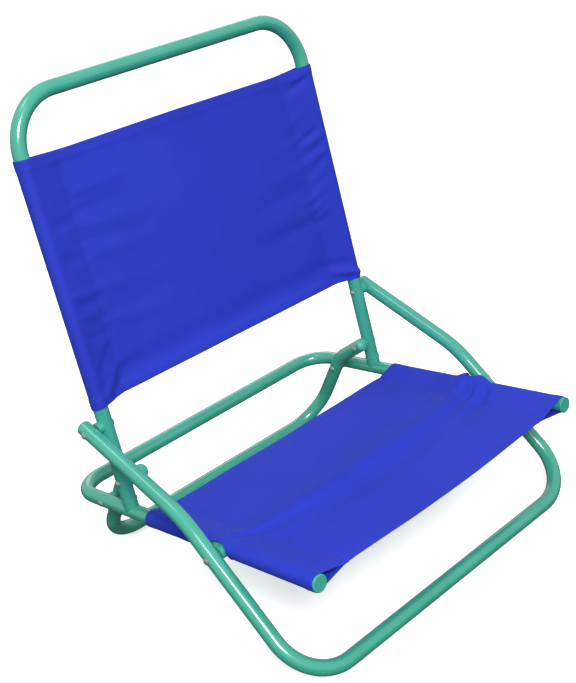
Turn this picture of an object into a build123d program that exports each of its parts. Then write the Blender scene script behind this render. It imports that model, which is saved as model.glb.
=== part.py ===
"""Low folding beach chair: four bent steel tube frames, pinned as a folding linkage, and two slings.

Millimetres. +X runs across the chair, +Y to its back and +Z up. The origin is on the ground,
under the middle of the chair's outline. Left is +X, the left hand of a person sitting in it.

The frames nest side by side. From the middle outwards they are the rear leg frame, then the seat
frame with the back frame above it in the same plane, then the front leg frame, which also
forms the arms. Four pivots on each side join them:

    arm pivot    arm and back frame
    seat pivot   front leg and seat rail
    link pivot   rear leg frame and back frame
    rear pivot   rear leg frame and seat rail
"""

import os
from math import asin, cos, sin

from build123d import *

os.makedirs("parts", exist_ok=True)

SIDES = (("left", 1), ("right", -1))

# Tube stock, and the half widths from the middle of the chair to each frame's tubes
TUBE_R = 9.5
TUBE_WALL = 1.2
BORE_R = TUBE_R - TUBE_WALL
ARM_GAP = 5.3
WASHER_GAP = 3.6
SEAT_HALF = 229.7
FRONT_HALF = SEAT_HALF + 2 * TUBE_R + ARM_GAP
REAR_HALF = SEAT_HALF - 2 * TUBE_R - WASHER_GAP

# Bend radii at the tube's axis
BACK_CORNER_R = 66
SEAT_CORNER_R = 41.5
FRONT_CORNER_R = 63.5
ARM_BEND_R = 148
REAR_CORNER_R = 56
REAR_BEND_R = 48
REAR_KNEE_RISE = 22

# Rivets: shank, running hole, domed head, and the play left beside a part that turns
RIVET_R = 3
HOLE_R = 3.05
HEAD_R = 4.6
HEAD_RISE = 2.2
HEAD_SKIRT = 1.6
PLAY = 0.1
SPACER_R = 7.5
WASHER_R = 6.5

# End caps and the feet of the back frame
SEAT_CAP_R = 10.4
SEAT_CAP_THICK = 3
SEAT_CAP_EDGE = 1.2
STEM_LONG = 14
STEM_SHORT = 4
DOME_RISE = 5
ARM_OVERHANG = 11.5
LINK_OVERHANG = 10.5
FOOT_LIP_R = 10.4
FOOT_LIP = 2.2
FOOT_HEIGHT = 6
FOOT_REACH = 6.5
SADDLE_ROOM = 0.3

# Slings: cloth thickness, room round the tube, and where each one starts and stops on its rails
CLOTH = 0.9
SLEEVE_ROOM = 0.3
SLEEVE_R = TUBE_R + SLEEVE_ROOM
BACK_SLING_SPAN = (130, 437)
BACK_SEAM_INSET = 55
SEAT_SLING_SPAN = (5, 304)
SEAT_SEAM_INSET = 52
SEAT_SHEET_RISE = 1
NOTCH_R = 8.6
NOTCH_DEPTH = 13


def side_view(y, z):
    """Point in the chair's side view, on its middle plane."""
    return Vector(0, y, z)


def along(start, end, distance):
    """Point at a distance from start on the line towards end."""
    return start + (end - start).normalized() * distance


def at_x(point, x):
    """The side-view point, moved sideways to x."""
    return Vector(x, point.Y, point.Z)


# The rails in side view. The seat rail drops towards the back, and the back leans backwards.
seat_front = side_view(-232.3, 142)
seat_rear = side_view(223.7, 99.4)
back_foot = side_view(99.2, 120.4)
back_top = side_view(185.9, 624.1)
front_floor = side_view(-220.6, TUBE_R)
rear_floor = side_view(209.8, TUBE_R)

# The pivots lie on the rails
seat_pivot = along(seat_front, seat_rear, 149.7)
rear_pivot = along(seat_front, seat_rear, 389)
link_pivot = along(back_foot, back_top, 32)
arm_pivot = along(back_foot, back_top, 110)

# The front leg passes through the seat pivot and bends into the arm. The rear leg passes through
# the rear pivot and bends forward just above it.
front_knee = along(front_floor, seat_pivot, 240)
rear_knee = along(rear_pivot, rear_floor, -REAR_KNEE_RISE)
arm_end = along(arm_pivot, front_knee, -ARM_OVERHANG)
link_end = along(link_pivot, rear_knee, -LINK_OVERHANG)


def u_path(half_width, leg_points):
    """Points of a U-shaped frame: down the left leg, across, and back up the right leg."""
    left = [at_x(point, half_width) for point in leg_points]
    right = [at_x(point, -half_width) for point in reversed(leg_points)]
    return left + right


def bent_path(points, radii):
    """Centreline of a bent tube."""
    with BuildLine() as line:
        FilletPolyline(*points, radius=radii)
    return line.wire()


def tube_section(path):
    """Ring of the tube stock, square to the start of its centreline."""
    with BuildSketch(Plane(origin=path @ 0, z_dir=path % 0)) as section:
        Circle(TUBE_R)
        Circle(BORE_R, mode=Mode.SUBTRACT)
    return section.sketch


def bar_across(point, x_from, x_to, radius, mode=Mode.ADD):
    """Round bar along X through a side-view point, in the part being built."""
    with Locations(at_x(point, (x_from + x_to) / 2)):
        Cylinder(radius, abs(x_to - x_from), rotation=(0, 90, 0), mode=mode)


def rivet_holes(pivots, half_width):
    """Holes through both legs of the frame being built."""
    for pivot in pivots:
        bar_across(pivot, -half_width - 2 * TUBE_R, half_width + 2 * TUBE_R, HOLE_R, Mode.SUBTRACT)


def cut_for_tube(point, direction, x, radius=TUBE_R):
    """Take a straight tube's space out of the part being built."""
    with Locations(Plane(origin=at_x(point, x), z_dir=direction).location):
        Cylinder(radius, 6 * TUBE_R, mode=Mode.SUBTRACT)


def dome_shoulder(radius, rise):
    """Rise and radius of the point half way round a spherical dome, from its rim to its crown."""
    sphere_r = (radius**2 + rise**2) / (2 * rise)
    half_angle = asin(radius / sphere_r) / 2
    return rise - sphere_r * (1 - cos(half_angle)), sphere_r * sin(half_angle)


def head_section(pivot, x_base, x_crest, outward):
    """Half section of a domed rivet head, which rises above x_crest and reaches back to x_base."""
    shoulder_rise, shoulder_r = dome_shoulder(HEAD_R, HEAD_RISE)
    with BuildSketch(Plane(origin=pivot, x_dir=(1, 0, 0), z_dir=(0, 0, 1))) as section:
        with BuildLine():
            rim = (x_crest, HEAD_R)
            crown = (x_crest + outward * HEAD_RISE, 0)
            ThreePointArc(rim, (x_crest + outward * shoulder_rise, shoulder_r), crown)
            Polyline(crown, (x_base, 0), (x_base, HEAD_R), rim)
        make_face()
    return section.sketch


def seated_head(pivot, x_crest, outward, tube_direction, tube_x):
    """Rivet head pressed down round the tube it is set on, in the part being built."""
    section = head_section(pivot, x_crest - outward * HEAD_SKIRT, x_crest, outward)
    revolve(section, axis=Axis(pivot, (1, 0, 0)))
    cut_for_tube(pivot, tube_direction, tube_x)


def free_head(pivot, x_crest, outward):
    """Rivet head that a tube turns under, in the part being built."""
    section = head_section(pivot, x_crest + outward * PLAY, x_crest + outward * 2 * PLAY, outward)
    revolve(section, axis=Axis(pivot, (1, 0, 0)))


# Directions of the tubes at the pivots
seat_direction = (seat_rear - seat_front).normalized()
back_direction = (back_top - back_foot).normalized()
front_direction = (seat_pivot - front_floor).normalized()
arm_direction = (arm_pivot - front_knee).normalized()
link_direction = (link_pivot - rear_knee).normalized()

# ---- Bent tube frames ----

seat_tube_front = along(seat_front, seat_rear, SEAT_CAP_THICK)
seat_path = bent_path(u_path(SEAT_HALF, [seat_tube_front, seat_rear]), [SEAT_CORNER_R] * 2)
with BuildPart() as seat_frame:
    sweep(sections=tube_section(seat_path), path=seat_path)
    rivet_holes([seat_pivot, rear_pivot], SEAT_HALF)
seat_frame.part.label = "seat_frame"
export_step(seat_frame.part, "parts/seat_frame.step")

back_tube_foot = along(back_foot, back_top, FOOT_HEIGHT + FOOT_LIP)
back_path = bent_path(u_path(SEAT_HALF, [back_tube_foot, back_top]), [BACK_CORNER_R] * 2)
with BuildPart() as back_frame:
    sweep(sections=tube_section(back_path), path=back_path)
    rivet_holes([link_pivot, arm_pivot], SEAT_HALF)
back_frame.part.label = "back_frame"
export_step(back_frame.part, "parts/back_frame.step")

front_bends = [ARM_BEND_R, FRONT_CORNER_R, FRONT_CORNER_R, ARM_BEND_R]
front_path = bent_path(u_path(FRONT_HALF, [arm_end, front_knee, front_floor]), front_bends)
with BuildPart() as front_leg_frame:
    sweep(sections=tube_section(front_path), path=front_path)
    rivet_holes([arm_pivot, seat_pivot], FRONT_HALF)
front_leg_frame.part.label = "front_leg_frame"
export_step(front_leg_frame.part, "parts/front_leg_frame.step")

rear_bends = [REAR_BEND_R, REAR_CORNER_R, REAR_CORNER_R, REAR_BEND_R]
rear_path = bent_path(u_path(REAR_HALF, [link_end, rear_knee, rear_floor]), rear_bends)
with BuildPart() as rear_leg_frame:
    sweep(sections=tube_section(rear_path), path=rear_path)
    rivet_holes([link_pivot, rear_pivot], REAR_HALF)
rear_leg_frame.part.label = "rear_leg_frame"
export_step(rear_leg_frame.part, "parts/rear_leg_frame.step")

# ---- Slings: flat cloth with a sleeve round each rail ----


def teardrop(x, seam_x, radius, tip_radius):
    """Outline that wraps a rail at x and closes to a narrow tip at the seam."""
    with BuildSketch() as outline:
        with Locations((x, 0)):
            Circle(radius)
        with Locations((seam_x, 0)):
            Circle(tip_radius)
        make_hull()
    return outline.sketch


back_seam = SEAT_HALF - BACK_SEAM_INSET
back_sling_low = along(back_foot, back_top, BACK_SLING_SPAN[0])
with BuildPart() as back_sling:
    with BuildSketch(Plane(origin=back_sling_low, x_dir=(1, 0, 0), z_dir=back_direction)):
        Rectangle(2 * back_seam, CLOTH)
        for side, sign in SIDES:
            add(teardrop(sign * SEAT_HALF, sign * back_seam, SLEEVE_R + CLOTH, CLOTH / 2))
        for side, sign in SIDES:
            tip = sign * (back_seam + 3)
            add(teardrop(sign * SEAT_HALF, tip, SLEEVE_R, CLOTH / 4), mode=Mode.SUBTRACT)
    extrude(amount=BACK_SLING_SPAN[1] - BACK_SLING_SPAN[0])
back_sling.part.label = "back_sling"
export_step(back_sling.part, "parts/back_sling.step")

# The seat's sheet stays above the rear leg frame, which folds up inside the seat frame
seat_seam = SEAT_HALF - SEAT_SEAM_INSET
seat_sling_front = along(seat_front, seat_rear, SEAT_SLING_SPAN[0])
with BuildPart() as seat_sling:
    with BuildSketch(Plane(origin=seat_sling_front, x_dir=(-1, 0, 0), z_dir=seat_direction)):
        with Locations((0, SEAT_SHEET_RISE + CLOTH / 2)):
            Rectangle(2 * seat_seam, CLOTH)
        for side, sign in SIDES:
            with BuildLine():
                rail = sign * SEAT_HALF
                seam = sign * seat_seam
                Polyline(
                    (rail, SLEEVE_R),
                    (rail, SLEEVE_R + CLOTH),
                    (seam, SEAT_SHEET_RISE + CLOTH),
                    (seam, SEAT_SHEET_RISE),
                    close=True,
                )
            make_face()
            with Locations((rail, 0)):
                Circle(SLEEVE_R + CLOTH)
        with Locations((SEAT_HALF, 0), (-SEAT_HALF, 0)):
            Circle(SLEEVE_R, mode=Mode.SUBTRACT)
    extrude(amount=SEAT_SLING_SPAN[1] - SEAT_SLING_SPAN[0])
    for side, sign in SIDES:
        x_inner = sign * (SEAT_HALF - NOTCH_DEPTH)
        x_outer = sign * (SEAT_HALF + NOTCH_DEPTH)
        bar_across(seat_pivot, x_inner, x_outer, NOTCH_R, Mode.SUBTRACT)
seat_sling.part.label = "seat_sling"
export_step(seat_sling.part, "parts/seat_sling.step")

# ---- Plugs in the open tube ends ----

for side, sign in SIDES:
    with BuildPart() as seat_end_cap:
        cap_x = sign * SEAT_HALF
        with BuildSketch(Plane(origin=at_x(seat_front, cap_x), z_dir=seat_direction)):
            Circle(SEAT_CAP_R)
        extrude(amount=SEAT_CAP_THICK)
        fillet(seat_end_cap.edges().filter_by(GeomType.CIRCLE), SEAT_CAP_EDGE)
        with BuildSketch(Plane(origin=at_x(seat_tube_front, cap_x), z_dir=seat_direction)):
            Circle(BORE_R)
        extrude(amount=STEM_LONG)
    seat_end_cap.part.label = f"seat_end_cap_{side}"
    export_step(seat_end_cap.part, f"parts/seat_end_cap_{side}.step")


def domed_plug(end, direction):
    """Plug in the part being built: a dome outside the tube's end and a short stem inside it."""
    with BuildSketch(Plane(origin=end, x_dir=direction, z_dir=(1, 0, 0))) as section:
        with BuildLine():
            rim = (0, TUBE_R)
            crown = (DOME_RISE, 0)
            ThreePointArc(rim, dome_shoulder(TUBE_R, DOME_RISE), crown)
            Polyline(crown, (-STEM_SHORT, 0), (-STEM_SHORT, BORE_R), (0, BORE_R), rim)
        make_face()
    revolve(section.sketch, axis=Axis(end, direction))


for side, sign in SIDES:
    with BuildPart() as arm_end_cap:
        domed_plug(at_x(arm_end, sign * FRONT_HALF), arm_direction)
    arm_end_cap.part.label = f"arm_end_cap_{side}"
    export_step(arm_end_cap.part, f"parts/arm_end_cap_{side}.step")

    with BuildPart() as link_end_cap:
        domed_plug(at_x(link_end, sign * REAR_HALF), link_direction)
    link_end_cap.part.label = f"link_end_cap_{side}"
    export_step(link_end_cap.part, f"parts/link_end_cap_{side}.step")

# Each foot of the back frame is a plug whose saddle rests on the seat rail and stops the back
foot_tip = along(back_foot, back_top, -FOOT_REACH)
foot_lip = along(back_foot, back_top, FOOT_HEIGHT)
foot_on_rail = seat_front + seat_direction * (back_foot - seat_front).dot(seat_direction)
for side, sign in SIDES:
    foot_x = sign * SEAT_HALF
    with BuildPart() as back_foot_plug:
        with BuildSketch(Plane(origin=at_x(foot_tip, foot_x), z_dir=back_direction)):
            Circle(TUBE_R)
        extrude(amount=FOOT_REACH + FOOT_HEIGHT)
        with BuildSketch(Plane(origin=at_x(foot_lip, foot_x), z_dir=back_direction)):
            Circle(FOOT_LIP_R)
        extrude(amount=FOOT_LIP)
        with BuildSketch(Plane(origin=at_x(back_tube_foot, foot_x), z_dir=back_direction)):
            Circle(BORE_R)
        extrude(amount=STEM_LONG)
        cut_for_tube(foot_on_rail, seat_direction, foot_x, TUBE_R + SADDLE_ROOM)
    back_foot_plug.part.label = f"back_foot_plug_{side}"
    export_step(back_foot_plug.part, f"parts/back_foot_plug_{side}.step")

# ---- Spacers between the frames, each shaped to the tube that it is fixed to ----

arm_face = FRONT_HALF - TUBE_R
rail_outer = SEAT_HALF + TUBE_R
rail_inner = SEAT_HALF - TUBE_R
link_face = REAR_HALF + TUBE_R
tube_curve = TUBE_R / 2

for side, sign in SIDES:
    rail_x = sign * SEAT_HALF
    with BuildPart() as arm_spacer:
        bar_across(arm_pivot, sign * (rail_outer - tube_curve), sign * (arm_face - PLAY), SPACER_R)
        bar_across(arm_pivot, 0, sign * FRONT_HALF, HOLE_R, Mode.SUBTRACT)
        cut_for_tube(arm_pivot, back_direction, rail_x)
    arm_spacer.part.label = f"arm_spacer_{side}"
    export_step(arm_spacer.part, f"parts/arm_spacer_{side}.step")

    with BuildPart() as seat_spacer:
        bar_across(seat_pivot, sign * (rail_outer - tube_curve), sign * (arm_face - PLAY), SPACER_R)
        bar_across(seat_pivot, 0, sign * FRONT_HALF, HOLE_R, Mode.SUBTRACT)
        cut_for_tube(seat_pivot, seat_direction, rail_x)
    seat_spacer.part.label = f"seat_spacer_{side}"
    export_step(seat_spacer.part, f"parts/seat_spacer_{side}.step")

    with BuildPart() as link_washer:
        bar_across(link_pivot, sign * (rail_inner + tube_curve), sign * (link_face + PLAY), WASHER_R)
        bar_across(link_pivot, 0, sign * FRONT_HALF, HOLE_R, Mode.SUBTRACT)
        cut_for_tube(link_pivot, back_direction, rail_x)
    link_washer.part.label = f"link_washer_{side}"
    export_step(link_washer.part, f"parts/link_washer_{side}.step")

    with BuildPart() as rear_washer:
        bar_across(rear_pivot, sign * (rail_inner + tube_curve), sign * (link_face + PLAY), WASHER_R)
        bar_across(rear_pivot, 0, sign * FRONT_HALF, HOLE_R, Mode.SUBTRACT)
        cut_for_tube(rear_pivot, seat_direction, rail_x)
    rear_washer.part.label = f"rear_washer_{side}"
    export_step(rear_washer.part, f"parts/rear_washer_{side}.step")

# ---- Rivets ----
# A rivet is fixed to one frame, where its head fits the tube, and the other frame turns on it.
# The arm rivet is in two halves that meet at the arm's inner face, one fixed to each frame.

arm_outer = FRONT_HALF + TUBE_R
link_inner = REAR_HALF - TUBE_R

for side, sign in SIDES:
    with BuildPart() as arm_rivet_outer:
        seated_head(arm_pivot, sign * arm_outer, sign, arm_direction, sign * FRONT_HALF)
        bar_across(arm_pivot, sign * (arm_face + PLAY), sign * (arm_outer + HEAD_RISE / 2), RIVET_R)
    arm_rivet_outer.part.label = f"arm_rivet_outer_{side}"
    export_step(arm_rivet_outer.part, f"parts/arm_rivet_outer_{side}.step")

    with BuildPart() as arm_rivet_inner:
        seated_head(arm_pivot, sign * rail_inner, -sign, back_direction, sign * SEAT_HALF)
        bar_across(arm_pivot, sign * (rail_inner - HEAD_RISE / 2), sign * (arm_face - PLAY), RIVET_R)
    arm_rivet_inner.part.label = f"arm_rivet_inner_{side}"
    export_step(arm_rivet_inner.part, f"parts/arm_rivet_inner_{side}.step")

    with BuildPart() as seat_rivet:
        seated_head(seat_pivot, sign * arm_outer, sign, front_direction, sign * FRONT_HALF)
        bar_across(seat_pivot, sign * (rail_inner - PLAY), sign * (arm_outer + HEAD_RISE / 2), RIVET_R)
        free_head(seat_pivot, sign * rail_inner, -sign)
    seat_rivet.part.label = f"seat_rivet_{side}"
    export_step(seat_rivet.part, f"parts/seat_rivet_{side}.step")

    with BuildPart() as link_rivet:
        seated_head(link_pivot, sign * rail_outer, sign, back_direction, sign * SEAT_HALF)
        bar_across(link_pivot, sign * (link_inner - PLAY), sign * (rail_outer + HEAD_RISE / 2), RIVET_R)
        free_head(link_pivot, sign * link_inner, -sign)
    link_rivet.part.label = f"link_rivet_{side}"
    export_step(link_rivet.part, f"parts/link_rivet_{side}.step")

    with BuildPart() as rear_rivet:
        seated_head(rear_pivot, sign * rail_outer, sign, seat_direction, sign * SEAT_HALF)
        bar_across(rear_pivot, sign * (link_inner - PLAY), sign * (rail_outer + HEAD_RISE / 2), RIVET_R)
        free_head(rear_pivot, sign * link_inner, -sign)
    rear_rivet.part.label = f"rear_rivet_{side}"
    export_step(rear_rivet.part, f"parts/rear_rivet_{side}.step")
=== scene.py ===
"""Looks of the folding beach chair: painted tubes, plastic plugs, metal rivets and two sewn slings.

Metres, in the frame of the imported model: +X across the chair, +Y to its back and +Z up. Left is +X.
Each sling is one strip of cloth. It is hemmed at both ends, wraps the two rails of its frame in
sleeves, and is sewn back on itself along a seam inside each rail.
"""

import math

import bpy
import numpy as np
from mathutils import Matrix, Vector


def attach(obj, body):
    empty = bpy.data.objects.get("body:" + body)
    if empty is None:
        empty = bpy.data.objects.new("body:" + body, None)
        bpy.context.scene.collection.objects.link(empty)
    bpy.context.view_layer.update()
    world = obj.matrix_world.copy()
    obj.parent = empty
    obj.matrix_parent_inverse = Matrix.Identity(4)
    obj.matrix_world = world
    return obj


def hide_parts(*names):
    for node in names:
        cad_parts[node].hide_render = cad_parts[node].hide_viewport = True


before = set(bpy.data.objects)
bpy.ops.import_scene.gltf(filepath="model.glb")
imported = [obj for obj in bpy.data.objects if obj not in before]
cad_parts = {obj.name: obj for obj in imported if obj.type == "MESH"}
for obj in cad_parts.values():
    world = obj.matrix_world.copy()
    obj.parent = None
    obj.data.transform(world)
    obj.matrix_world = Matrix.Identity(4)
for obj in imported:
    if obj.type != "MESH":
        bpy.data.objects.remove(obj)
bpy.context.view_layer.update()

SIDES = (("left", 1), ("right", -1))

# ---- Sizes ----

TUBE_R = 0.0095
RAIL_X = 0.2297
CLOTH = 0.0007
HEM = 0.012
FOLD_R = 0.0004
SLEEVE_R = TUBE_R + 0.0004 + CLOTH / 2
SEAM_ALLOWANCE = 0.009
FLAP_DROP = CLOTH + 0.0001
THREAD_R = 0.00022
NOTCH_BINDING_R = 0.0010

# The rails in side view, as their two ends
BACK_RAIL = (Vector((0, 0.0992, 0.1204)), Vector((0, 0.1859, 0.6241)))
SEAT_RAIL = (Vector((0, -0.2323, 0.1420)), Vector((0, 0.2237, 0.0994)))

# Where each sling's sleeves start and stop along the rails, and where the seat pivots are
BACK_SPAN = (0.130, 0.437)
SEAT_SPAN = (0.004, 0.304)
SEAT_PIVOT_S = 0.1497


# ---- Camera, light and sky ----

CAMERA_PLACE = Vector((-0.9384, -1.0271, 0.9206))
CAMERA_RIGHT = Vector((0.7003, -0.7030, -0.1243))
CAMERA_UP = Vector((0.3798, 0.2194, 0.8987))
CAMERA_LENS = 64.5
CAMERA_SENSOR = 36
LIGHT_TARGET = Vector((0, 0, 0.25))

# The sky is dark below the horizon, so that undersides stay dark. Heights run from 0 to 1.
SKY_LOW = (0.42, (0.12, 0.14, 0.13, 1))
SKY_HIGH = (0.50, (0.96, 0.98, 0.97, 1))
SKY_STRENGTH = 0.64


def studio_camera():
    """The scene's camera, aimed by the directions of its right and its top."""
    data = bpy.data.cameras.new("camera")
    data.lens = CAMERA_LENS
    data.sensor_width = CAMERA_SENSOR
    data.clip_start = 0.05
    camera = bpy.data.objects.new("camera", data)
    bpy.context.scene.collection.objects.link(camera)
    backward = CAMERA_RIGHT.cross(CAMERA_UP).normalized()
    up = backward.cross(CAMERA_RIGHT).normalized()
    turned = Matrix((CAMERA_RIGHT.normalized(), up, backward)).transposed()
    camera.matrix_world = Matrix.LocRotScale(CAMERA_PLACE, turned, None)
    bpy.context.scene.camera = camera


def soft_box(name, place, size, power):
    """Rectangular studio light that faces the chair."""
    data = bpy.data.lights.new(name, "AREA")
    data.shape = "RECTANGLE"
    data.size, data.size_y = size
    data.energy = power
    light = bpy.data.objects.new(name, data)
    light.location = place
    aim = LIGHT_TARGET - Vector(place)
    light.rotation_euler = aim.to_track_quat("-Z", "Y").to_euler()
    bpy.context.scene.collection.objects.link(light)


def studio_sky():
    """Even sky light that turns dark just below the horizon."""
    world = bpy.data.worlds.new("studio")
    bpy.context.scene.world = world
    world.use_nodes = True
    nodes = world.node_tree.nodes
    links = world.node_tree.links
    direction = nodes.new("ShaderNodeTexCoord")
    parts = nodes.new("ShaderNodeSeparateXYZ")
    height = nodes.new("ShaderNodeMapRange")
    height.inputs["From Min"].default_value = -1
    bands = nodes.new("ShaderNodeValToRGB")
    for element, (position, colour) in zip(bands.color_ramp.elements, (SKY_LOW, SKY_HIGH)):
        element.position = position
        element.color = colour
    links.new(direction.outputs["Generated"], parts.inputs["Vector"])
    links.new(parts.outputs["Z"], height.inputs["Value"])
    links.new(height.outputs["Result"], bands.inputs["Fac"])
    links.new(bands.outputs["Color"], nodes["Background"].inputs["Color"])
    nodes["Background"].inputs["Strength"].default_value = SKY_STRENGTH


studio_camera()
soft_box("key_light", (-1.35, -1.9, 2.1), (0.9, 0.9), 78)
soft_box("top_light", (-0.9, 0.3, 2.9), (1.2, 0.7), 9)
soft_box("back_light", (1.6, 2.2, 1.5), (1.4, 1.0), 6)
studio_sky()
bpy.context.scene.view_settings.view_transform = "Standard"


# ---- Material building ----


class Look:
    """A material under construction: a node tree with a Principled shader in it."""

    def __init__(self, name):
        self.material = bpy.data.materials.new(name)
        self.material.use_nodes = True
        self.nodes = self.material.node_tree.nodes
        self.links = self.material.node_tree.links
        self.shader = self.nodes["Principled BSDF"]

    def node(self, kind, settings=(), **inputs):
        """New node. Inputs are values or other nodes' sockets, by socket name."""
        made = self.nodes.new(f"ShaderNode{kind}")
        for key, value in dict(settings).items():
            setattr(made, key, value)
        for key, value in inputs.items():
            self.put(made.inputs[key.replace("_", " ")], value)
        return made

    def put(self, socket, value):
        """Link a socket, or set its value."""
        if isinstance(value, bpy.types.NodeSocket):
            self.links.new(value, socket)
        else:
            socket.default_value = value

    def place(self):
        """Object coordinates, which are the frame's own metres."""
        return self.node("TexCoord").outputs["Object"]

    def noise(self, scale, detail=3, roughness=0.5, where=None):
        """Noise from 0 to 1."""
        made = self.node("TexNoise", Scale=scale, Detail=detail, Roughness=roughness)
        self.put(made.inputs["Vector"], where or self.place())
        return made.outputs["Fac"]

    def ramp(self, value, stops):
        """Colour ramp through (position, colour) stops."""
        made = self.node("ValToRGB", Fac=value)
        elements = made.color_ramp.elements
        while len(elements) < len(stops):
            elements.new(0.5)
        for element, (position, colour) in zip(elements, stops):
            element.position = position
            element.color = (*colour, 1)
        return made.outputs["Color"]

    def span(self, value, low, high, to_low=0.0, to_high=1.0):
        """A value's range moved to another range, and held there."""
        made = self.node("MapRange", Value=value)
        made.inputs["From Min"].default_value = low
        made.inputs["From Max"].default_value = high
        made.inputs["To Min"].default_value = to_low
        made.inputs["To Max"].default_value = to_high
        return made.outputs["Result"]

    def mix(self, factor, under, over):
        """A colour socket mixed with a plain colour. A node that mixes colours has its inputs A and B
        at places 6 and 7, and its result at place 2."""
        made = self.node("Mix", {"data_type": "RGBA"})
        self.put(made.inputs[0], factor)
        self.put(made.inputs[6], under)
        self.put(made.inputs[7], (*over, 1))
        return made.outputs[2]

    def sum(self, first, second, operation="ADD"):
        """Two values put together."""
        made = self.node("Math", {"operation": operation})
        self.put(made.inputs[0], first)
        self.put(made.inputs[1], second)
        return made.outputs[0]

    def bump(self, height, distance, strength, under=None):
        """Bump from a height, over another bump."""
        made = self.node("Bump", Height=height, Distance=distance, Strength=strength)
        if under is not None:
            self.put(made.inputs["Normal"], under)
        return made.outputs["Normal"]

    def shade(self, **inputs):
        """Set the shader's sockets, by name."""
        for key, value in inputs.items():
            self.put(self.shader.inputs[key.replace("_", " ")], value)


def frame_paint():
    """Glossy stoved enamel over steel tube: slight orange peel, uneven gloss and a few pale specks."""
    look = Look("frame_paint")
    cloudy = look.noise(9, 4, 0.55)
    base = look.ramp(cloudy, [(0.3, (0.037, 0.322, 0.228)), (0.7, (0.049, 0.380, 0.276))])
    specks = look.span(look.noise(420, 2, 0.4), 0.735, 0.76)
    worn = look.span(look.noise(28, 5, 0.7), 0.66, 0.74)
    chips = look.sum(specks, worn, "MULTIPLY")
    look.shade(
        Base_Color=look.mix(chips, base, (0.16, 0.34, 0.27)),
        Roughness=look.span(look.noise(60, 5, 0.65), 0.35, 0.75, 0.20, 0.36),
        Coat_Weight=0.85,
        Coat_Roughness=0.08,
        Normal=look.bump(look.noise(700, 2, 0.5), 0.00012, 0.35),
    )
    return look.material


def plug_plastic():
    """Moulded plastic in the paint's colour, a little duller, with a fine moulded grain."""
    look = Look("plug_plastic")
    cloudy = look.noise(35, 3, 0.5)
    base = look.ramp(cloudy, [(0.3, (0.034, 0.320, 0.230)), (0.7, (0.050, 0.390, 0.282))])
    look.shade(
        Base_Color=base,
        Roughness=look.span(look.noise(150, 4, 0.6), 0.3, 0.7, 0.34, 0.5),
        Normal=look.bump(look.noise(1500, 3, 0.6), 0.00008, 0.4),
    )
    return look.material


def rivet_metal():
    """Plated steel rivet heads, dulled and lightly scratched."""
    look = Look("rivet_metal")
    dull = look.noise(260, 5, 0.65)
    base = look.ramp(dull, [(0.3, (0.20, 0.25, 0.22)), (0.65, (0.46, 0.53, 0.48))])
    look.shade(
        Base_Color=base,
        Metallic=0.7,
        Roughness=look.span(look.noise(900, 4, 0.6), 0.3, 0.7, 0.30, 0.48),
        Normal=look.bump(look.noise(1300, 4, 0.7), 0.0001, 0.4),
    )
    return look.material


def woven_cloth():
    """Close plain-woven canvas. The weave follows the cloth's own flat coordinates, in metres."""
    look = Look("sling_cloth")
    flat = look.node("UVMap", {"uv_map": "flat"}).outputs["UV"]
    object_place = look.place()
    waves = []
    for direction in ("X", "Y"):
        settings = {"wave_type": "BANDS", "bands_direction": direction}
        wave = look.node("TexWave", settings, Vector=flat, Scale=260.0, Distortion=0.6, Detail=1.0)
        waves.append(wave.outputs["Fac"])
    weave = look.sum(*waves, "MULTIPLY")
    slub = look.node("Mapping", Scale=(900, 60, 1), Vector=flat).outputs["Vector"]
    slubs = look.noise(1, 3, 0.6, slub)
    cloudy = look.noise(7, 4, 0.6, object_place)
    dye = look.ramp(cloudy, [(0.3, (0.015, 0.030, 0.400)), (0.7, (0.019, 0.036, 0.470))])
    threads = look.span(look.sum(weave, slubs), 0.2, 1.4, 0.0, 0.28)
    height = look.sum(weave, look.sum(slubs, 0.5, "MULTIPLY"))
    handled = look.bump(look.noise(45, 4, 0.6, object_place), 0.0006, 0.25)
    look.shade(
        Base_Color=look.mix(threads, dye, (0.045, 0.075, 0.62)),
        Roughness=look.span(slubs, 0.3, 0.7, 0.62, 0.78),
        Sheen_Weight=0.05,
        Sheen_Roughness=0.4,
        Specular_IOR_Level=0.14,
        Normal=look.bump(height, 0.0002, 0.5, handled),
    )
    look.shader.inputs["Sheen Tint"].default_value = (0.55, 0.62, 1.0, 1)
    return look.material


def sewing_thread():
    """Twisted thread in the cloth's colour, with a rounder gloss."""
    look = Look("sewing_thread")
    fuzz = look.noise(2500, 2, 0.5)
    base = look.ramp(fuzz, [(0.3, (0.013, 0.025, 0.33)), (0.7, (0.024, 0.042, 0.48))])
    look.shade(
        Base_Color=base,
        Roughness=look.span(fuzz, 0.3, 0.7, 0.5, 0.7),
        Sheen_Weight=0.05,
        Normal=look.bump(fuzz, 0.0001, 0.5),
    )
    return look.material


def floor_paper():
    """White studio paper with a barely visible tooth."""
    look = Look("floor_paper")
    tooth = look.noise(300, 3, 0.6)
    base = look.ramp(look.noise(1.2, 2, 0.5), [(0.3, (0.93, 0.95, 0.94)), (0.7, (0.95, 0.97, 0.96))])
    look.shade(
        Base_Color=base,
        Roughness=0.9,
        Specular_IOR_Level=0.1,
        Emission_Color=(0.97, 1.0, 0.99, 1),
        Emission_Strength=0.50,
        Normal=look.bump(tooth, 0.0002, 0.1),
    )
    return look.material


PAINT = frame_paint()
PLASTIC = plug_plastic()
METAL = rivet_metal()
CANVAS = woven_cloth()
THREAD = sewing_thread()


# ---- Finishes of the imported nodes, and the floor ----

PLASTIC_NAMES = ("cap", "plug", "spacer", "washer")
FLOOR_REACH = 14

for name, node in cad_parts.items():
    if "rivet" in name:
        finish = METAL
    elif any(word in name for word in PLASTIC_NAMES):
        finish = PLASTIC
    else:
        finish = PAINT
    for material_slot in node.material_slots:
        material_slot.material = finish

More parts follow.
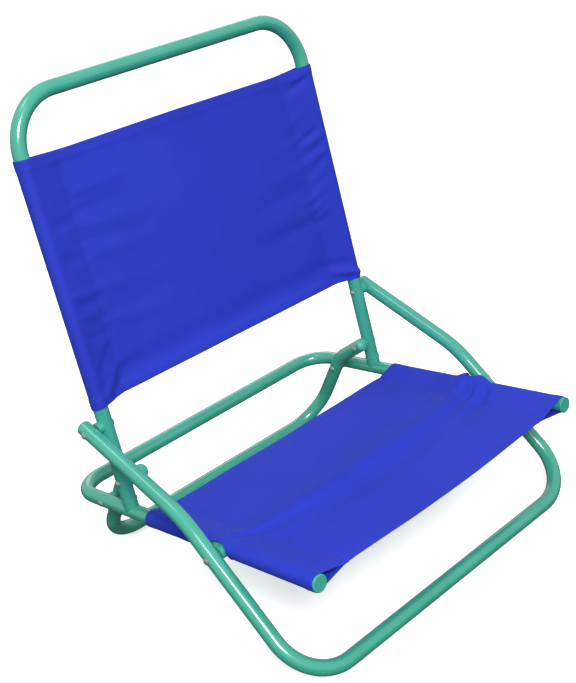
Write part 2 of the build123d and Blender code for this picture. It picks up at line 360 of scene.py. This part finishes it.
floor_mesh = bpy.data.meshes.new("floor")
corners = [(x * FLOOR_REACH, y * FLOOR_REACH, 0) for x, y in ((-1, -1), (1, -1), (1, 1), (-1, 1))]
floor_mesh.from_pydata(corners, [], [(0, 1, 2, 3)])
floor_mesh.materials.append(floor_paper())
floor = bpy.data.objects.new("floor", floor_mesh)
bpy.context.scene.collection.objects.link(floor)
floor.visible_diffuse = False
floor.visible_glossy = False


# ---- Cloth building ----

# Grid columns in each part of half a section, and the columns where the parts end
SHEET, TOP, ARC, FLAP, ALLOWANCE = 62, 16, 26, 14, 3
Q_SEAM, Q_OVER, Q_UNDER, Q_FLAP, Q_END = np.cumsum([SHEET, TOP, ARC, FLAP, ALLOWANCE])

# The least and the most that a seam may lie inside its rail
SEAM_RANGE = (0.025, 0.060)

# Grid rows in a hem's turn and in each of its layers
TURN_ROWS = 4
HEM_ROWS = 5

# Where the strip steps down from the hem's upper layer to single cloth: gap from the edge, and lift
HEM_STEP = [(HEM + 0.0008, FOLD_R * 0.7), (HEM + 0.002, FOLD_R * 0.1)]

# Points round a notch's rim, and the power of its superellipse: 2 is round, and more is squarer
RIM_POINTS = 96
NOTCH_POWER = 3


def smooth_step(value, low, high):
    """0 below low, 1 above high, and a smooth rise between them."""
    t = np.clip((value - low) / (high - low), 0, 1)
    return t * t * (3 - 2 * t)


def bell(distance, width):
    """Rounded bump, 1 at no distance and falling away over the width."""
    return np.exp(-((distance / width) ** 2))


def crease(x, s, start, end, width, height, end_width):
    """Soft fold along a line on the cloth, raised by its height, or sunk if that is negative.
    It is strongest near its start and dies away towards its end."""
    run = np.subtract(end, start)
    length = np.hypot(*run)
    along = ((x - start[0]) * run[0] + (s - start[1]) * run[1]) / length**2
    across = ((s - start[1]) * run[0] - (x - start[0]) * run[1]) / length
    fade = smooth_step(along, -0.08, 0.15) * (1 - smooth_step(along, 0.3, 1.1))
    spread = width + (end_width - width) * np.clip(along, 0, 1)
    return height * fade * bell(across, spread)


def tangent_point(corner, side):
    """Where a line from a corner (x, n) touches the sleeve's circle round the rail, above or below."""
    dx, dn = RAIL_X - corner[0], -corner[1]
    distance = math.hypot(dx, dn)
    angle = math.atan2(dn, dx) + side * math.asin(SLEEVE_R / distance)
    run = math.sqrt(distance**2 - SLEEVE_R**2)
    return corner[0] + run * math.cos(angle), corner[1] + run * math.sin(angle)


def run_points(start, end, count):
    """Points along a straight run, without its first."""
    steps = np.linspace(0, 1, count + 1)[1:, None]
    return np.array(start) + steps * np.subtract(end, start)


def arc_points(start, end, count):
    """Points clockwise round the rail from one point of the sleeve's circle to another."""
    first = math.atan2(start[1], start[0] - RAIL_X)
    last = math.atan2(end[1], end[0] - RAIL_X)
    if last > first:
        last -= 2 * math.pi
    angles = np.linspace(first, last, count + 1)[1:]
    return np.column_stack([RAIL_X + SLEEVE_R * np.cos(angles), SLEEVE_R * np.sin(angles)])


def half_section(inset, rise, tight):
    """Half of a sling's bare cross-section, from the middle of the chair, over the rail, round it and
    back under to the seam. Each row holds x, n, the outward normal's two parts and the flat distance.
    A tight sleeve follows the rail nearly all the way round, and a loose one closes to the seam."""
    seam = (RAIL_X - inset, rise)
    flap_seam = (RAIL_X - inset, rise - FLAP_DROP)
    over = tangent_point(seam, 1)
    under = tangent_point(flap_seam, -1)
    if tight:
        lean = math.atan2(over[1] - seam[1], over[0] - seam[0])
        under = (RAIL_X - SLEEVE_R * math.cos(lean), -SLEEVE_R * math.sin(lean))
    flap_end = (RAIL_X - inset - SEAM_ALLOWANCE, rise - FLAP_DROP)
    points = np.vstack(
        [
            [(0, rise)],
            run_points((0, rise), seam, SHEET),
            run_points(seam, over, TOP),
            arc_points(over, under, ARC),
            run_points(under, flap_seam, FLAP),
            run_points(flap_seam, flap_end, ALLOWANCE),
        ]
    )
    tangent = np.gradient(points, axis=0)
    tangent /= np.linalg.norm(tangent, axis=1)[:, None]
    flat = np.concatenate([[0], np.cumsum(np.hypot(*np.diff(points, axis=0).T))])
    return np.column_stack([points, -tangent[:, 1], tangent[:, 0], flat])


class Sling:
    """Cloth strip in its own coordinates: q counts grid columns out from the middle, negative on the
    right, s is the distance along the rails, and lift is off the outer face."""

    def __init__(self, rail, rise, seam, edges, relief, hug):
        self.origin = np.array(rail[0])
        self.s_axis = np.array((rail[1] - rail[0]).normalized())
        self.n_axis = np.cross([1, 0, 0], self.s_axis)
        self.seam, self.edges, self.relief, self.hug = seam, edges, relief, hug
        self.keys = [
            [half_section(inset, rise, tight) for inset in SEAM_RANGE] for tight in (False, True)
        ]

    def section(self, q, s):
        """x, n, the normal's two parts and the flat distance, for points on the bare section."""
        wide = (self.seam(np.sign(q), s) - SEAM_RANGE[0]) / (SEAM_RANGE[1] - SEAM_RANGE[0])
        tight = self.hug(s)
        total = 0
        for tightness, pair in zip((1 - tight, tight), self.keys):
            for share, key in zip((1 - wide, wide), pair):
                found = [np.interp(np.abs(q), np.arange(len(key)), column) for column in key.T]
                total = total + tightness * share * np.array(found)
        return total

    def surface(self, q, s, lift):
        """Points on the cloth, in the frame's metres."""
        q, s = np.broadcast_arrays(np.asarray(q, float), np.asarray(s, float))
        side = np.where(q < 0, -1.0, 1.0)
        x, n, normal_x, normal_n, _ = self.section(q, s)
        lift = lift + self.relief(self, side, np.abs(q), x, s)
        point = np.multiply.outer(side * (x + lift * normal_x), np.array([1.0, 0, 0]))
        point += np.multiply.outer(n + lift * normal_n, self.n_axis)
        return point + np.multiply.outer(s, self.s_axis) + self.origin

    def inward(self, side, x, s):
        """Distance from the seam towards the middle, negative on the rail's side of it."""
        return RAIL_X - self.seam(side, s) - x

    def grid(self, count):
        """q, s and lift of every grid point. Each end of the strip is folded under as a hem."""
        q = np.arange(-Q_END, Q_END + 1.0)
        low, high = self.edges(q)
        turn = np.linspace(0, math.pi, TURN_ROWS + 2)[1:-1]
        fold = [(gap, -FOLD_R) for gap in np.linspace(HEM, 0, HEM_ROWS)]
        fold += [(-FOLD_R * math.sin(a), -FOLD_R * math.cos(a)) for a in turn]
        fold += [(gap, FOLD_R) for gap in np.linspace(0, HEM, HEM_ROWS + 1)]
        fold += HEM_STEP
        gap, lift = np.array(fold).T
        s_low = low[:, None] + gap
        s_high = high[:, None] - gap[::-1]
        share = np.linspace(0, 1, count + 2)[1:-1]
        s_middle = s_low[:, -1:] + (s_high[:, :1] - s_low[:, -1:]) * share
        s = np.hstack([s_low, s_middle, s_high])
        lift = np.concatenate([lift, np.zeros(count), lift[::-1]])
        return np.broadcast_to(q[:, None], s.shape).copy(), s, np.broadcast_to(lift, s.shape)

    def hem_share(self, q, s):
        """1 in the hems and 0 between them."""
        low, high = self.edges(q)
        return 1 - smooth_step(np.minimum(s - low, high - s), HEM, HEM + 0.006)


def smooth_object(name, points, faces, material):
    """Smooth-shaded mesh from points and faces."""
    mesh = bpy.data.meshes.new(name)
    mesh.from_pydata(points, [], faces)
    mesh.polygons.foreach_set("use_smooth", [True] * len(mesh.polygons))
    mesh.materials.append(material)
    made = bpy.data.objects.new(name, mesh)
    bpy.context.scene.collection.objects.link(made)
    return made


def grid_object(name, points, flat, material, skip):
    """Mesh over a grid of points without the skipped faces. The flat coordinates are its UV map."""
    index = np.arange(points.shape[0] * points.shape[1]).reshape(points.shape[:2])
    faces = np.stack([index[:-1, :-1], index[1:, :-1], index[1:, 1:], index[:-1, 1:]], -1)[~skip]
    kept = np.unique(faces)
    faces = np.searchsorted(kept, faces)
    made = smooth_object(name, points.reshape(-1, 3)[kept].tolist(), faces.tolist(), material)
    uv = made.data.uv_layers.new(name="flat")
    uv.data.foreach_set("uv", flat.reshape(-1, 2)[kept][faces.ravel()].astype(np.float32).ravel())
    return made


def cloth_object(name, sling, count, notches=()):
    """The sling's whole strip of cloth, with its thickness and any holes cut in it."""
    q, s, lift = sling.grid(count)
    skip = np.zeros((q.shape[0] - 1, q.shape[1] - 1), bool)
    for notch in notches:
        skip |= notch.cut(q, s)
    points = sling.surface(q, s, lift)
    flat_x = np.sign(q) * sling.section(q, s)[4]
    made = grid_object(name, points, np.stack([flat_x, s + lift], -1), CANVAS, skip)
    thick = made.modifiers.new("thickness", "SOLIDIFY")
    thick.thickness = CLOTH
    thick.offset = 0
    return made


class Notch:
    """Rounded hole in one sleeve, in grid columns and metres along the rail. It leans forward as it
    goes down the sleeve's outer face, by LEAN metres a column."""

    LEAN = 0.0003

    def __init__(self, side, q, s, q_radius, s_radius):
        self.side, self.q, self.s, self.q_radius, self.s_radius = side, q, s, q_radius, s_radius

    def local(self, q, s):
        """Position in the hole, from -1 to 1 each way."""
        across = q * self.side - self.q
        return across / self.q_radius, (s - self.s + self.LEAN * across) / self.s_radius

    def place(self, across, along):
        """Grid position of a position in the hole."""
        across = across * self.q_radius
        return self.side * (self.q + across), self.s - self.LEAN * across + along * self.s_radius

    def distance(self, q, s):
        """1 on the rim, less inside it and more outside it."""
        across, along = self.local(q, s)
        return (np.abs(across) ** NOTCH_POWER + np.abs(along) ** NOTCH_POWER) ** (1 / NOTCH_POWER)

    def cut(self, q, s):
        """Marks the grid faces in the hole, and moves the grid points round it onto its rim."""
        middle_q = (q[:-1, :-1] + q[1:, 1:]) / 2
        middle_s = (s[:-1, :-1] + s[1:, 1:] + s[:-1, 1:] + s[1:, :-1]) / 4
        inside = self.distance(middle_q, middle_s) < 1
        touched = np.zeros(q.shape, bool)
        kept = np.zeros(q.shape, bool)
        for across in (slice(None, -1), slice(1, None)):
            for along in (slice(None, -1), slice(1, None)):
                touched[across, along] |= inside
                kept[across, along] |= ~inside
        rim = touched & kept
        scale = 1 / self.distance(q[rim], s[rim])
        across, along = self.local(q[rim], s[rim])
        q[rim], s[rim] = self.place(across * scale, along * scale)
        return inside

    def rim(self):
        """Points (q, s) round the rim."""
        angles = np.linspace(0, 2 * math.pi, RIM_POINTS, endpoint=False)
        across, along = np.cos(angles), np.sin(angles)
        power_sum = np.abs(across) ** NOTCH_POWER + np.abs(along) ** NOTCH_POWER
        scale = power_sum ** (-1 / NOTCH_POWER)
        return self.place(across * scale, along * scale)


def tube_faces(rings, sides, closed):
    """Faces of a tube of rings, closed into a loop or capped with a point at each end."""
    faces = []
    for ring in range(rings if closed else rings - 1):
        after = (ring + 1) % rings
        for k in range(sides):
            m = (k + 1) % sides
            faces.append((ring * sides + k, ring * sides + m, after * sides + m, after * sides + k))
    if not closed:
        first, last = rings * sides, rings * sides + 1
        for k in range(sides):
            m = (k + 1) % sides
            faces.append((first, m, k))
            faces.append((last, (rings - 1) * sides + k, (rings - 1) * sides + m))
    return faces


def ring_points(centre, forward, upward, radius, sides):
    """Circle of points round a line."""
    forward = forward / np.linalg.norm(forward)
    across = np.cross(forward, upward)
    across /= np.linalg.norm(across)
    upward = np.cross(across, forward)
    angles = np.linspace(0, 2 * math.pi, sides, endpoint=False)[:, None]
    return centre + radius * (np.cos(angles) * across + np.sin(angles) * upward)


# Stitch length and pitch, and where the rows lie: inside the seam, and from a hem's edge
STITCH, STITCH_PITCH = 0.0026, 0.0035
SEAM_ROWS = (0, 0.006)
HEM_ROW = 0.0098

# Along one stitch: its thickness, and its rise off the cloth, as shares of the thread's radius
STITCH_SHAPE = ((0.6, 0.0), (0.95, 0.4), (1.0, 0.55), (0.95, 0.4), (0.6, 0.0))
STITCH_SIDES = 6

# Points along a seam's row, and along a hem's row on the face and on the back
SEAM_STEPS, FACE_STEPS, BACK_STEPS = 160, 900, 500


def stitching(name, sling, lines):
    """Rows of stitches. Each line gives the q, s and lift of points along a row on the cloth."""
    points, faces = [], []
    template = tube_faces(len(STITCH_SHAPE), STITCH_SIDES, closed=False)
    for q, s, lift in lines:
        path = sling.surface(q, s, lift)
        above = sling.surface(q, s, lift + math.copysign(0.001, np.mean(lift))) - path
        length = np.concatenate([[0], np.cumsum(np.linalg.norm(np.diff(path, axis=0), axis=1))])
        for start in np.arange(0.0005, length[-1] - STITCH, STITCH_PITCH):
            at = start + np.linspace(0, STITCH, len(STITCH_SHAPE))
            centres = np.column_stack([np.interp(at, length, axis) for axis in path.T])
            upward = np.array([np.interp(at[2], length, axis) for axis in above.T])
            upward /= np.linalg.norm(upward)
            forward = centres[-1] - centres[0]
            base = len(points)
            for centre, (thickness, rise) in zip(centres, STITCH_SHAPE):
                raised = centre + upward * THREAD_R * rise
                ring = ring_points(raised, forward, upward, THREAD_R * thickness, STITCH_SIDES)
                points.extend(ring.tolist())
            sunk = upward * THREAD_R * 0.5
            points.append((centres[0] - forward * 0.04 - sunk).tolist())
            points.append((centres[-1] + forward * 0.04 - sunk).tolist())
            faces.extend(tuple(base + k for k in face) for face in template)
    return smooth_object(name, points, faces, THREAD)


def seam_lines(sling):
    """Stitch rows along both seams, on the face and on the back."""
    column_width = (RAIL_X - 0.045) / SHEET
    end_gap = 0.002
    lines = []
    for side in (-1, 1):
        for inset in SEAM_ROWS:
            face_q = np.full(SEAM_STEPS, side * (Q_SEAM - inset / column_width))
            back_q = np.full(SEAM_STEPS, side * (Q_FLAP + inset / SEAM_ALLOWANCE * ALLOWANCE))
            low, high = (float(edge[0]) for edge in sling.edges(face_q))
            s = np.linspace(low + end_gap, high - end_gap, SEAM_STEPS)
            lift = CLOTH / 2 + FOLD_R * sling.hem_share(face_q, s)
            lines += [(face_q, s, lift), (back_q, s, lift)]
    return lines


def hem_lines(sling, gap, end):
    """A stitch row along one end's hem, round the sleeves as well, on the face and on the back."""
    lift = FOLD_R + CLOTH / 2
    lines = []
    for reach, steps, row_lift in ((Q_FLAP, FACE_STEPS, lift), (Q_SEAM - 4, BACK_STEPS, -lift)):
        q = np.linspace(-reach, reach, steps)
        low, high = sling.edges(q)
        s = low + gap if end == "low" else high - gap
        lines.append((q, s, np.full(steps, row_lift)))
    return lines


# How far puckers run into the sheet, how far a hem pads out its flap, and the depth of a stitched row
PUCKER_REACH = 0.030
HEM_PAD = 0.0009
GROOVE = 0.00035
GROOVE_WIDTH = 0.0016


def front_share(q):
    """1 on the sheet and the outer face of the sleeve, 0 on the flap behind."""
    return 1 - smooth_step(q, Q_OVER + 5, Q_OVER + ARC * 0.6)


def pucker_set(seed, low, high, pitch):
    """Puckers along a seam, at uneven steps: (s, strength, width, reach)."""
    draw = np.random.default_rng(seed)
    s, found = low, []
    while s < high:
        s += pitch * draw.uniform(0.7, 1.35)
        found.append((s, draw.uniform(0.5, 1.0), draw.uniform(0.0036, 0.0062), draw.uniform(0.5, 1.6)))
    return found


def puckers(found, d, s, slant, height):
    """Puckers that start at the seam, d = 0, fade towards the rail and fan out into the sheet."""
    inside = np.clip(d, 0, None)
    outside = np.clip(-d, 0, None)
    off_rail = 1 - smooth_step(outside, 0.006, 0.034)
    total = -0.35 * np.exp(-inside / PUCKER_REACH) * off_rail
    for where, strength, width, reach in found:
        line = where + slant * (d - 0.4 * outside)
        spread = width * (1 + inside / PUCKER_REACH)
        fade = np.exp(-inside / (PUCKER_REACH * reach)) * off_rail
        total = total + strength * fade * bell(s - line, spread)
    return height * total


def settle(sling, side, q, s, d, total):
    """Keeps a relief off the rail, and makes the flap follow the sheet's relief next to the seam."""
    on_rail = smooth_step(q, Q_OVER - 5, Q_OVER) * (1 - smooth_step(q, Q_UNDER, Q_UNDER + 5))
    total = np.where(total < 0, total * (1 - on_rail), total)
    sheet = front_share(q)
    flap = smooth_step(q, Q_UNDER + 1, Q_FLAP - 2)
    joined = smooth_step(d, -0.016, -0.002)
    return total * (sheet - flap * joined) + HEM_PAD * flap * sling.hem_share(side * q, s)


def stitch_groove(d):
    """The cloth drawn down along the seam's two stitch rows."""
    return -GROOVE * sum(bell(d - inset, GROOVE_WIDTH) for inset in SEAM_ROWS)


def drape(x, s, seed, size, height):
    """Slow unevenness of slack cloth, as a few crossing waves."""
    draw = np.random.default_rng(seed)
    total = 0
    for _ in range(7):
        angle, phase, stretch = draw.uniform(0, math.pi), draw.uniform(0, 6.3), draw.uniform(0.7, 1.6)
        wave = (x * math.cos(angle) + s * math.sin(angle)) * 2 * math.pi / (size * stretch)
        total = total + np.sin(wave + phase)
    return height * total / 3


# ---- Back sling ----


def back_seam(side, s):
    """How far the seam lies inside the rail. Both seams run closer to the rails at the bottom."""
    share = np.clip((s - BACK_SPAN[0]) / (BACK_SPAN[1] - BACK_SPAN[0]), 0, 1)
    return np.where(side < 0, 0.039 + 0.007 * share, 0.037 + 0.014 * share**3)


# The edges along the rails at key columns: sleeve, seam and middle, from right to left
EDGE_COLUMNS = (-Q_FLAP, -Q_UNDER + 6, -Q_OVER - 4, -Q_SEAM, 0, Q_SEAM, Q_OVER + 4, Q_UNDER - 6, Q_FLAP)
BACK_LOW = (0.1377, 0.1336, 0.1336, 0.1377, 0.1367, 0.1352, 0.1308, 0.1308, 0.1352)
BACK_HIGH = (0.4412, 0.4438, 0.4438, 0.4412, 0.4400, 0.4366, 0.4390, 0.4390, 0.4366)


def edge_curve(q, values):
    """An edge through its key values, rounded off between them."""
    near = [np.interp(q + shift, EDGE_COLUMNS, values) for shift in range(-6, 7)]
    return np.mean(near, axis=0)


def back_edges(q):
    """Lower and upper edge along the rails. The sleeves reach past the sheet at both ends."""
    return edge_curve(q, BACK_LOW), edge_curve(q, BACK_HIGH)


BACK_PUCKERS = {1: pucker_set(5, 0.21, 0.37, 0.020), -1: pucker_set(8, 0.15, 0.42, 0.026)}

# Folds: start and end (x, s), width, height, and width at the end
BACK_FOLDS = (
    ((-0.188, 0.388), (-0.070, 0.392), 0.005, 0.0012, 0.012),
    ((-0.188, 0.348), (-0.050, 0.333), 0.005, 0.0012, 0.014),
    ((-0.188, 0.312), (-0.070, 0.303), 0.005, 0.0009, 0.012),
    ((-0.188, 0.268), (-0.050, 0.256), 0.006, 0.0009, 0.014),
    ((-0.190, 0.226), (-0.040, 0.212), 0.006, 0.0011, 0.015),
    ((-0.188, 0.368), (-0.080, 0.362), 0.005, -0.0009, 0.011),
    ((-0.188, 0.330), (-0.080, 0.320), 0.005, -0.0009, 0.011),
    ((0.206, 0.284), (0.040, 0.273), 0.006, -0.0017, 0.015),
    ((0.206, 0.262), (0.050, 0.250), 0.006, 0.0010, 0.013),
    ((0.210, 0.247), (0.060, 0.244), 0.006, 0.0014, 0.013),
    ((0.206, 0.229), (0.050, 0.233), 0.006, -0.0016, 0.014),
    ((0.206, 0.312), (0.080, 0.299), 0.005, 0.0010, 0.012),
    ((0.232, 0.356), (0.170, 0.338), 0.0045, -0.0015, 0.007),
    ((0.232, 0.334), (0.168, 0.317), 0.0045, -0.0015, 0.007),
    ((0.232, 0.313), (0.170, 0.297), 0.0045, -0.0013, 0.007),
    ((0.232, 0.345), (0.170, 0.328), 0.0045, 0.0012, 0.007),
    ((0.232, 0.323), (0.170, 0.307), 0.0045, 0.0012, 0.007),
    ((0.242, 0.1365), (0.165, 0.1620), 0.0036, 0.0030, 0.008),
    ((0.240, 0.1290), (0.175, 0.1500), 0.0036, -0.0016, 0.006),
    ((0.236, 0.1540), (0.130, 0.1740), 0.0060, -0.0018, 0.010),
    ((0.238, 0.4260), (0.170, 0.4090), 0.0035, -0.0024, 0.007),
    ((0.236, 0.4340), (0.180, 0.4190), 0.0035, 0.0014, 0.006),
    ((-0.222, 0.1430), (-0.178, 0.1860), 0.0050, 0.0026, 0.008),
    ((-0.208, 0.1370), (-0.172, 0.1720), 0.0042, -0.0018, 0.007),
    ((-0.224, 0.1700), (-0.185, 0.2060), 0.0050, -0.0016, 0.007),
    ((-0.228, 0.2630), (-0.180, 0.2540), 0.0050, -0.0018, 0.008),
    ((-0.228, 0.2750), (-0.180, 0.2650), 0.0045, 0.0014, 0.007),
    ((-0.228, 0.2490), (-0.180, 0.2390), 0.0045, 0.0013, 0.007),
    ((-0.228, 0.3180), (-0.186, 0.3120), 0.0080, -0.0014, 0.009),
    ((-0.228, 0.3600), (-0.186, 0.3560), 0.0080, -0.0013, 0.009),
    ((-0.228, 0.2160), (-0.186, 0.2240), 0.0070, -0.0013, 0.009),
)


# How far the lower edge of the back curls forward
LOW_CURL = 0.0022


def back_relief(sling, side, q, x, s):
    """How far the cloth stands off its bare section."""
    d = sling.inward(side, x, s)
    signed_x = side * x
    total = stitch_groove(d)
    for one_side, slant, height in ((1, -0.24, 0.0014), (-1, 0.10, 0.0010)):
        raised = puckers(BACK_PUCKERS[one_side], d, s, slant, height)
        total = total + np.where(side == one_side, raised, 0)
    total = total + drape(signed_x, s, 3, 0.10, 0.0004) * smooth_step(d, -0.01, 0.04)
    total = total + sum(crease(signed_x, s, *fold) for fold in BACK_FOLDS)
    gap = s - sling.edges(side * q)[0]
    curl = bell(gap - 0.002, 0.008) - bell(gap - 0.026, 0.014)
    total = total + LOW_CURL * curl * smooth_step(d, -0.012, 0.02)
    return settle(sling, side, q, s, d, total)


def no_hug(s):
    """A sleeve that is loose all along."""
    return 0 * s


back = Sling(BACK_RAIL, 0.0, back_seam, back_edges, back_relief, no_hug)
back_cloth = cloth_object("back_sling_cloth", back, 100)
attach(back_cloth, "back")
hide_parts("back_sling")
back_rows = seam_lines(back) + hem_lines(back, HEM_ROW, "low") + hem_lines(back, HEM_ROW, "high")
back_thread = stitching("back_sling_stitching", back, back_rows)
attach(back_thread, "back")


# ---- Seat sling ----


def seat_seam(side, s):
    """How far the seam lies inside the rail. The sleeves narrow towards the back."""
    share = np.clip((s - SEAT_SPAN[0]) / (SEAT_SPAN[1] - SEAT_SPAN[0]), 0, 1)
    return np.where(side < 0, 0.041, 0.047) - share * np.where(side < 0, 0.013, 0.019)


SEAT_LOW = (0.0045, 0.0040, 0.0040, 0.0030, 0.0012, 0.0030, 0.0060, 0.0060, 0.0045)
SEAT_HIGH = (0.2950, 0.2930, 0.2912, 0.2945, 0.2918, 0.2952, 0.2928, 0.2928, 0.2950)


def seat_edges(q):
    """Front and rear edge along the rails."""
    return edge_curve(q, SEAT_LOW), edge_curve(q, SEAT_HIGH)


def seat_hug(s):
    """The sleeve is tight near the back, where the rear legs fold up beside it."""
    return smooth_step(s, 0.215, 0.255)


# The hole in each sleeve's outer face that the spacer at the seat pivot passes through
NOTCH_Q = Q_OVER + ARC * 0.45
NOTCHES = {
    1: Notch(1, NOTCH_Q, SEAT_PIVOT_S - 0.001, ARC * 0.40, 0.0130),
    -1: Notch(-1, NOTCH_Q + 2.8, SEAT_PIVOT_S + 0.003, ARC * 0.33, 0.0145),
}
SEAT_PUCKERS = {1: pucker_set(21, 0.012, 0.29, 0.022), -1: pucker_set(24, 0.012, 0.29, 0.022)}

# Folds: start and end (x, s), width, height, and width at the end
SEAT_FOLDS = (
    ((-0.224, 0.1360), (-0.100, 0.0990), 0.0045, 0.0032, 0.011),
    ((-0.216, 0.1330), (-0.130, 0.1140), 0.0045, -0.0026, 0.008),
    ((-0.222, 0.1160), (-0.150, 0.0880), 0.0060, -0.0012, 0.010),
    ((0.230, 0.1340), (0.100, 0.0990), 0.0045, 0.0040, 0.011),
    ((0.218, 0.1330), (0.125, 0.1140), 0.0045, -0.0032, 0.008),
    ((0.232, 0.1200), (0.120, 0.0840), 0.0045, -0.0034, 0.011),
    ((0.224, 0.1620), (0.120, 0.1500), 0.0040, 0.0013, 0.010),
    ((0.222, 0.1500), (0.130, 0.1400), 0.0040, -0.0014, 0.008),
    ((-0.222, 0.1640), (-0.150, 0.1600), 0.0050, -0.0010, 0.009),
    ((0.205, 0.0200), (0.150, 0.0050), 0.0050, 0.0014, 0.006),
    ((-0.205, 0.0200), (-0.150, 0.0050), 0.0050, 0.0010, 0.006),
)


# Half length of the ridge across the seat, its height and the hollow before it, and the front's sag
RIDGE_HALF = 0.217
RIDGE_HEIGHT = 0.0074
HOLLOW_DEPTH = 0.0026
FRONT_SAG = 0.0040

# Cloth bunched up round each notch: height and spread, by side
COLLARS = {1: (0.0062, 0.75), -1: (0.0028, 0.40)}

# The front hem has a second row of stitches
FRONT_HEM_ROW = HEM_ROW - 0.0023


def seat_ridge(x, s):
    """The ridge from pivot to pivot. It bows forward, and has a hollow along its front."""
    share = np.clip(np.abs(x) / RIDGE_HALF, 0, 1.1)
    crest = 0.132 + 0.022 * share**2.5
    narrow = 1 - 0.62 * share**1.5
    gap = s - crest
    ridge = RIDGE_HEIGHT * bell(gap, np.where(gap > 0, 0.034, 0.0125) * narrow)
    hollow = HOLLOW_DEPTH * bell(gap + 0.034, 0.011) * (1 - share**2).clip(0)
    return (ridge * (1 - 0.5 * share) - hollow) * (1 - smooth_step(share, 0.97, 1.06))


def seat_sag(x, s):
    """The front edge sags between the rails."""
    across = np.cos(np.clip(x / (RAIL_X - 0.04), 0, 1) * math.pi / 2) ** 1.5
    return FRONT_SAG * across * (1 - smooth_step(s, 0.01, 0.10))


def collar(side, q, s):
    """Cloth bunched up round the notch on one side, above the spacer."""
    notch = NOTCHES[side]
    height, spread = COLLARS[side]
    beyond = np.clip(notch.distance(side * q, s) - 1, 0, None)
    upper = 1 - smooth_step(q, notch.q - 4, notch.q + 5)
    return height * upper * bell(beyond, spread)


def seat_relief(sling, side, q, x, s):
    """How far the cloth stands off its bare section."""
    d = sling.inward(side, x, s)
    signed_x = side * x
    total = stitch_groove(d)
    for one_side in (1, -1):
        raised = puckers(SEAT_PUCKERS[one_side], d, s, 0.1 * one_side, 0.0006)
        total = total + np.where(side == one_side, raised, 0)
    total = total + drape(signed_x, s, 12, 0.12, 0.0003) * smooth_step(d, -0.01, 0.04)
    total = total + seat_ridge(x, s)
    total = total + sum(crease(signed_x, s, *fold) for fold in SEAT_FOLDS)
    total = total - seat_sag(x, s)
    for one_side in (1, -1):
        total = total + np.where(side == one_side, collar(one_side, q, s), 0)
    return settle(sling, side, q, s, d, total)


seat = Sling(SEAT_RAIL, 0.001, seat_seam, seat_edges, seat_relief, seat_hug)
seat_cloth = cloth_object("seat_sling_cloth", seat, 112, NOTCHES.values())
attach(seat_cloth, "seat")
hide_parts("seat_sling")
seat_rows = seam_lines(seat)
for gap, end in ((FRONT_HEM_ROW, "low"), (HEM_ROW, "low"), (HEM_ROW, "high")):
    seat_rows += hem_lines(seat, gap, end)
seat_thread = stitching("seat_sling_stitching", seat, seat_rows)
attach(seat_thread, "seat")


def notch_edge(name, notch):
    """Bound rim of a notch: a thin roll of thread all round it."""
    sides = 8
    rim_q, rim_s = notch.rim()
    centres = seat.surface(rim_q, rim_s, 0.0)
    above = seat.surface(rim_q, rim_s, 0.001) - centres
    forward = np.roll(centres, -1, axis=0) - np.roll(centres, 1, axis=0)
    rings = [ring_points(c, f, a, NOTCH_BINDING_R, sides) for c, f, a in zip(centres, forward, above)]
    faces = tube_faces(len(centres), sides, closed=True)
    return smooth_object(name, np.vstack(rings).tolist(), faces, THREAD)


for side_name, side in SIDES:
    edge = notch_edge(f"seat_notch_edge_{side_name}", NOTCHES[side])
    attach(edge, "seat")


bpy.context.view_layer.update()
